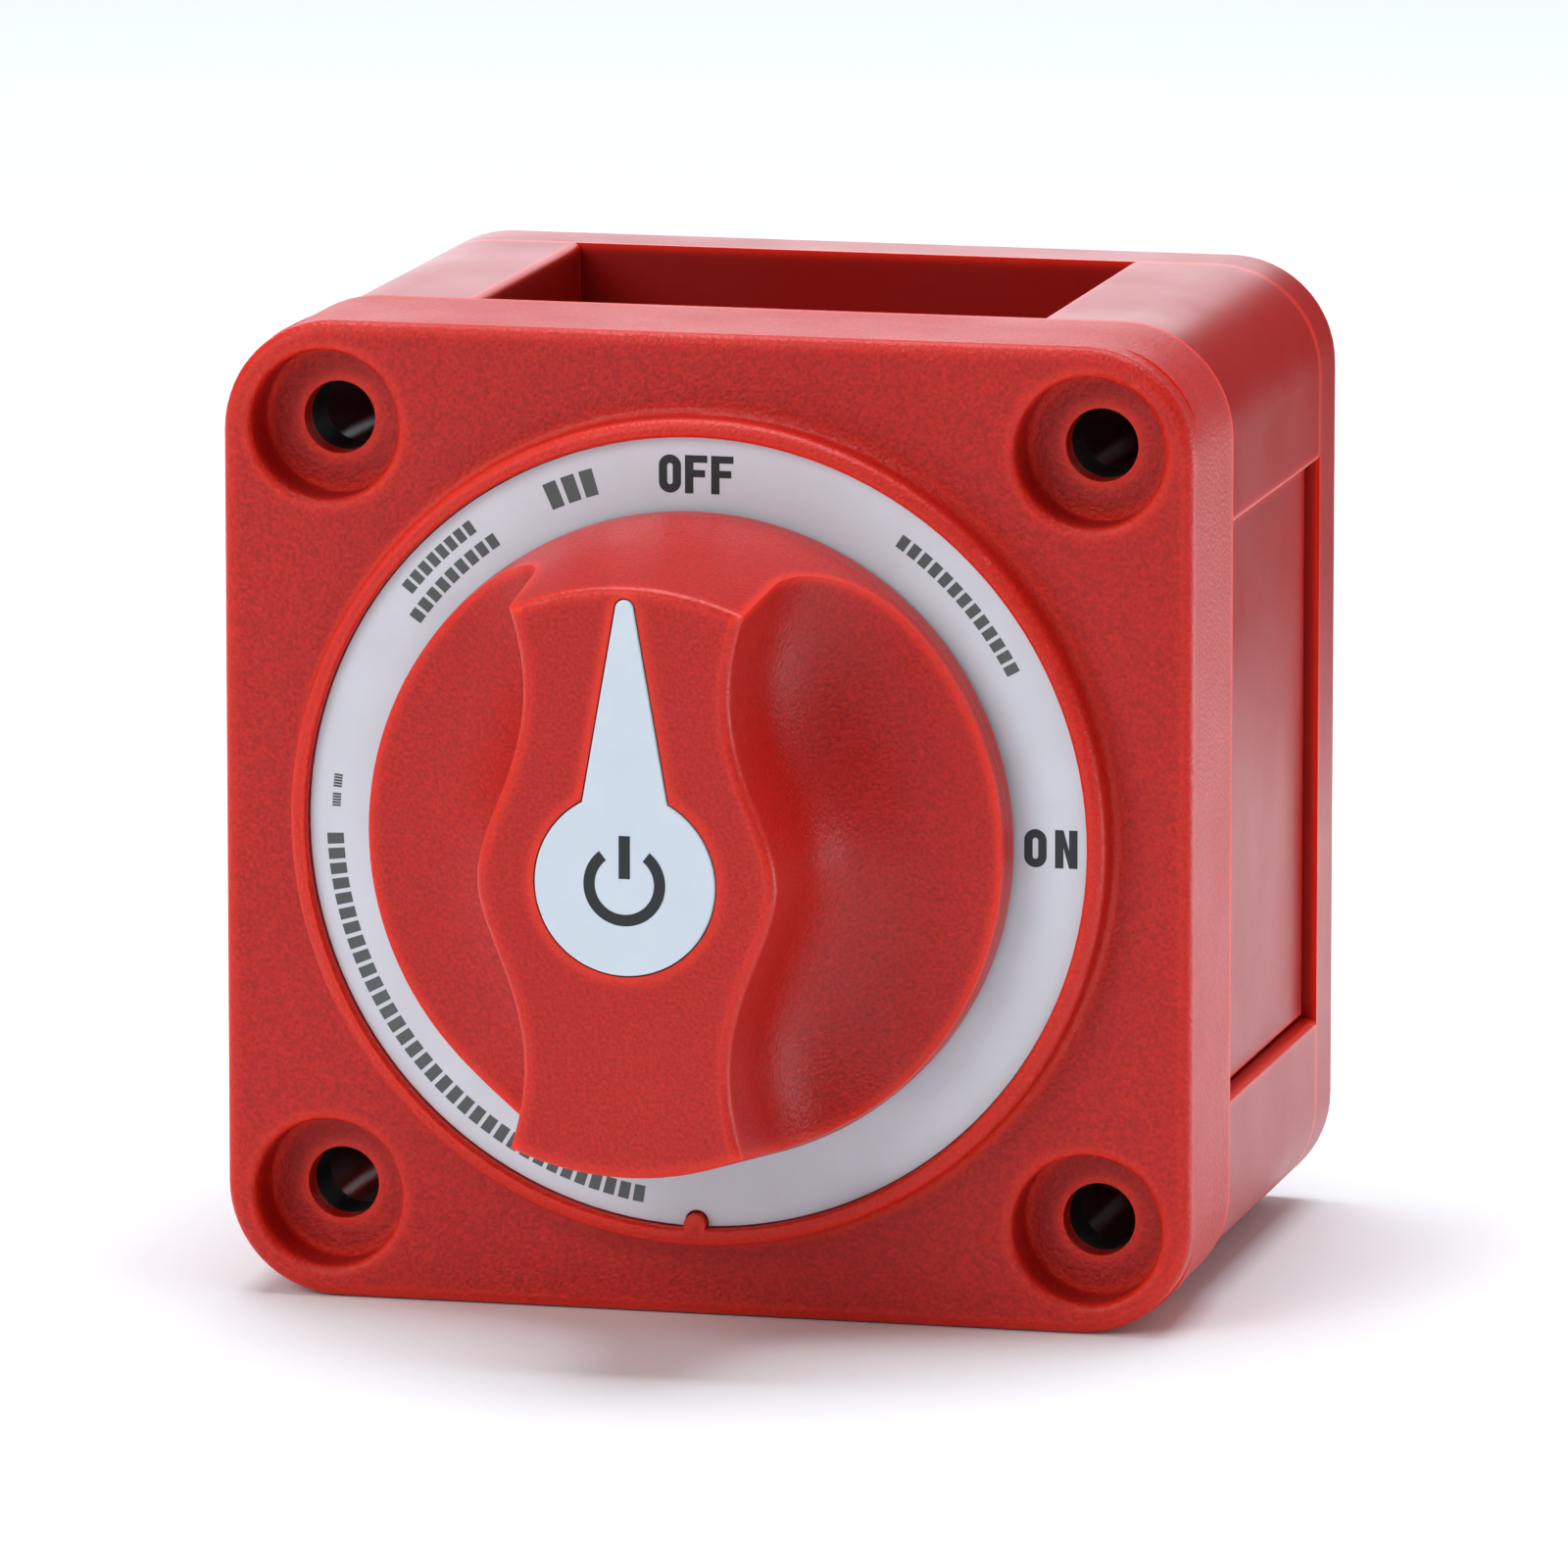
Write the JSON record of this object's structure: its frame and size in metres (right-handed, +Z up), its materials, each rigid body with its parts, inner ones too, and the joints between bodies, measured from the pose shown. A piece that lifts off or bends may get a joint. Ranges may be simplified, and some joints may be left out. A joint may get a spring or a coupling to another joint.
{
  "type": "battery switch",
  "caption": "Square rotary on/off battery switch with a grip knob, dial label, corner mounting holes and a rear terminal compartment.",
  "frame": {"origin": "on the knob's axis, in the rear mounting face", "axes": "+X to the right seen from the front, +Y rearward into the mounting panel, +Z up"},
  "size_m": [0.0698, 0.0737, 0.0698],
  "materials": {
    "red_shell": "red glass-filled moulding, fine grain",
    "red_knob": "red moulding, satin",
    "black_moulding": "black glass-filled moulding",
    "label": "pearl white printed plastic",
    "brass_fittings": "turned",
    "rubber_seals": "smooth",
    "plated_steel": "zinc plated",
    "spring_steel": "bright spring steel",
    "tinned_copper": "tin-plated copper",
    "copper": "bare copper, stamped",
    "silver_contacts": "silver alloy, satin",
    "stainless_steel": "stainless, machined"
  },
  "bodies": {
    "housing": {"front_cover": "red_shell", "contact_base": "black_moulding", "terminal_housing": "red_shell", "label_ring": "label", "base_gasket": "rubber_seals", "assembly_screws": "plated_steel", "shaft_bushing": "brass_fittings", "detent_spring_left": "spring_steel", "detent_spring_right": "spring_steel", "stud_left": "tinned_copper", "stud_right": "tinned_copper", "fixed_contacts": "silver_contacts", "stud_seals": "rubber_seals", "flat_washers": "stainless_steel", "lock_washers": "stainless_steel", "hex_nuts": "stainless_steel"},
    "rotor": {"knob": "red_knob", "pointer_insert": "label", "knob_screw": "plated_steel", "knob_washer": "plated_steel", "rotor_shaft": "black_moulding", "shaft_seal": "rubber_seals", "contact_bridge": "copper", "bridge_contacts": "silver_contacts", "bridge_spring": "spring_steel", "bridge_clip": "spring_steel"},
    "rear_cover": {"rear_cover": "red_shell"},
    "side_plate_left": {"side_plate_left": "red_shell"},
    "side_plate_right": {"side_plate_right": "red_shell"}
  },
  "joints": [
    {"name": "knob_turn", "type": "hinge", "parent": "housing", "child": "rotor", "pos_m": [0, 0, 0], "axis": [0, 1, 0], "range_deg": [0, 90], "deforming": ["detent_spring_left", "detent_spring_right"]},
    {"name": "rear_cover_slide", "type": "slide", "parent": "housing", "child": "rear_cover", "axis": [0, 1, 0], "range_m": [0, 0.03]},
    {"name": "side_plate_left_slide", "type": "slide", "parent": "housing", "child": "side_plate_left", "axis": [-1, 0, 0], "range_m": [0, 0.012]},
    {"name": "side_plate_right_slide", "type": "slide", "parent": "housing", "child": "side_plate_right", "axis": [1, 0, 0], "range_m": [0, 0.012]}
  ]
}
